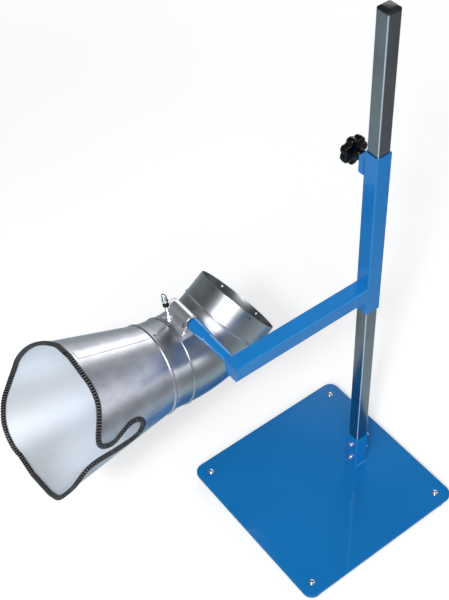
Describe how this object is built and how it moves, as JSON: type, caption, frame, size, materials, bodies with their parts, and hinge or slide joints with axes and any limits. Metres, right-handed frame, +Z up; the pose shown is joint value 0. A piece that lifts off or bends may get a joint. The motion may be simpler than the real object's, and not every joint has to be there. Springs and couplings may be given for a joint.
{
  "type": "ducted air hood on floor stand",
  "caption": "Sheet-metal funnel hood with a 45-degree elbow and hose spigot, tilting on an arm that slides and clamps on a square floor-stand post.",
  "frame": {"origin": "on the floor, under the middle of the square base plate", "axes": "+Z up along the post; the arm and the mouth of the funnel point along -Y; the funnel lies on the -X side of the arm"},
  "size_m": [0.4622, 0.6962, 1.0604],
  "materials": {
    "base_paint": "blue powder coat, gloss",
    "socket_paint": "blue powder coat, gloss",
    "weld_paint": "blue powder coat over weld",
    "foot_rubber": "matt black rubber",
    "screw_chrome": "bright plated",
    "nut_zinc": "zinc plated",
    "bolt_zinc": "zinc plated",
    "washer_zinc": "zinc plated",
    "post_zinc": "galvanised",
    "cap_plastic": "black plastic",
    "carriage_paint": "blue powder coat, gloss",
    "rod_steel": "bright steel",
    "disc_plastic": "black plastic",
    "pad_brass": "plain",
    "knob_plastic": "black plastic",
    "bracket_zinc": "galvanised",
    "lock_black": "black",
    "duct_zinc": "galvanised sheet",
    "funnel_zinc": "galvanised sheet",
    "trim_rubber": "black edge trim"
  },
  "bodies": {
    "base": {"base_plate": "base_paint", "post_socket": "socket_paint", "socket_weld": "weld_paint", "rubber_feet": "foot_rubber", "foot_screws": "screw_chrome", "foot_nuts": "nut_zinc", "socket_bolts": "bolt_zinc", "socket_washers": "washer_zinc", "socket_nuts": "nut_zinc", "post": "post_zinc", "post_cap": "cap_plastic"},
    "carriage": {"sleeve": "carriage_paint", "clamp_boss": "carriage_paint", "arm": "carriage_paint", "arm_weld": "carriage_paint", "arm_end_plate": "carriage_paint", "cross_tube": "carriage_paint", "cross_bush": "carriage_paint", "pivot_rod": "rod_steel", "friction_disc": "disc_plastic", "jam_nut": "nut_zinc", "pivot_ring": "rod_steel"},
    "clamp_thrust": {"clamp_pad": "pad_brass"},
    "knob": {"clamp_screw": "bolt_zinc", "star_knob": "knob_plastic"},
    "hood": {"hinge_bracket": "bracket_zinc", "bracket_bolts": "bolt_zinc", "bracket_washers": "washer_zinc", "bracket_nuts": "nut_zinc", "lock_nut": "lock_black", "cap_nut": "screw_chrome", "elbow": "duct_zinc", "hose_spigot": "duct_zinc", "elbow_neck": "duct_zinc", "funnel": "funnel_zinc", "funnel_lap": "funnel_zinc", "neck_rivets": "washer_zinc", "mouth_trim": "trim_rubber"}
  },
  "joints": [
    {"name": "carriage_slide", "type": "slide", "parent": "base", "child": "carriage", "axis": [0, 0, 1], "range_m": [-0.1, 0.22]},
    {"name": "clamp_travel", "type": "slide", "parent": "carriage", "child": "clamp_thrust", "axis": [-1, 0, 0], "range_m": [0, 0.005]},
    {"name": "knob_turn", "type": "hinge", "parent": "clamp_thrust", "child": "knob", "pos_m": [-0.04, 0.09, 0.781], "axis": [-1, 0, 0], "range_deg": [0, 1440]},
    {"name": "hood_tilt", "type": "hinge", "parent": "carriage", "child": "hood", "pos_m": [-0.156, -0.188, 0.52], "axis": [1, 0, 0], "range_deg": [-50, 60]}
  ],
  "couplings": [
    {"joint": "clamp_travel", "follows": "knob_turn", "m_per_rad": 0.00019894}
  ]
}
